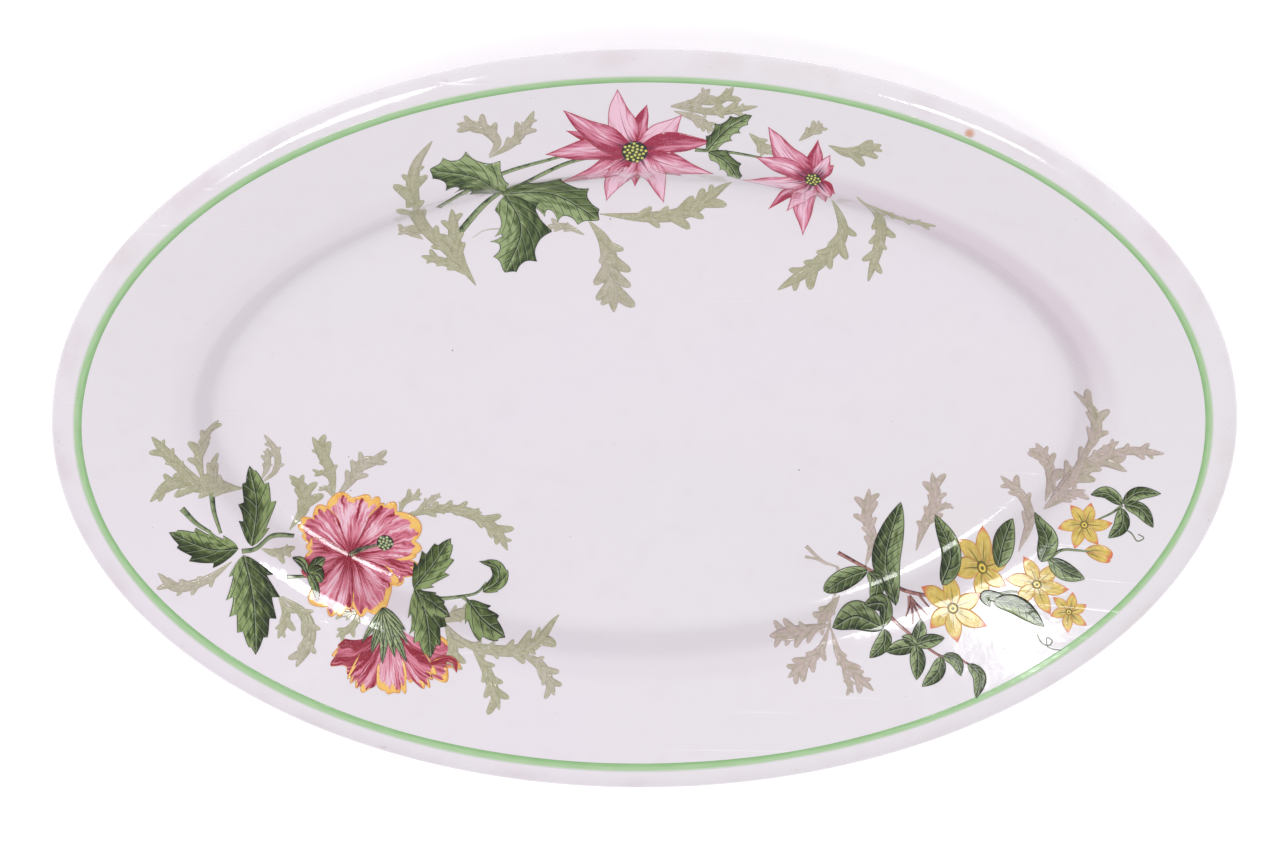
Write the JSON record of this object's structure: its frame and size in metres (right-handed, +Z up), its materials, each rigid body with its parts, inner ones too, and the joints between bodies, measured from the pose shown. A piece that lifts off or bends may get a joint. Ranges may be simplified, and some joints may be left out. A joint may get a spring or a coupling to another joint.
{
  "type": "serving platter",
  "caption": "Oval serving platter with a rolled edge, sloping rim, shallow well and oval foot ring, with a green line and painted flower sprays.",
  "frame": {"origin": "centre of the foot ring's standing plane", "axes": "+Z up out of the well, +X along the long axis, +Y towards the side of the rim that carries the two pink star-shaped blooms"},
  "size_m": [0.292, 0.203, 0.0268],
  "materials": {
    "china_body": "matte bisque",
    "glaze": "gloss",
    "green_line": "gloss",
    "pink_print": "gloss",
    "yellow_print": "gloss",
    "leaf_print": "gloss",
    "scroll_print": "gloss"
  },
  "bodies": {
    "root": {"china_body": "china_body", "face_glaze": "glaze", "base_glaze": "glaze", "green_line": "green_line", "top_blooms": "pink_print", "top_leaves": "leaf_print", "top_scrolls": "scroll_print", "left_blooms": "pink_print", "left_leaves": "leaf_print", "left_scrolls": "scroll_print", "right_blooms": "yellow_print", "right_leaves": "leaf_print", "right_scrolls": "scroll_print"}
  },
  "joints": []
}
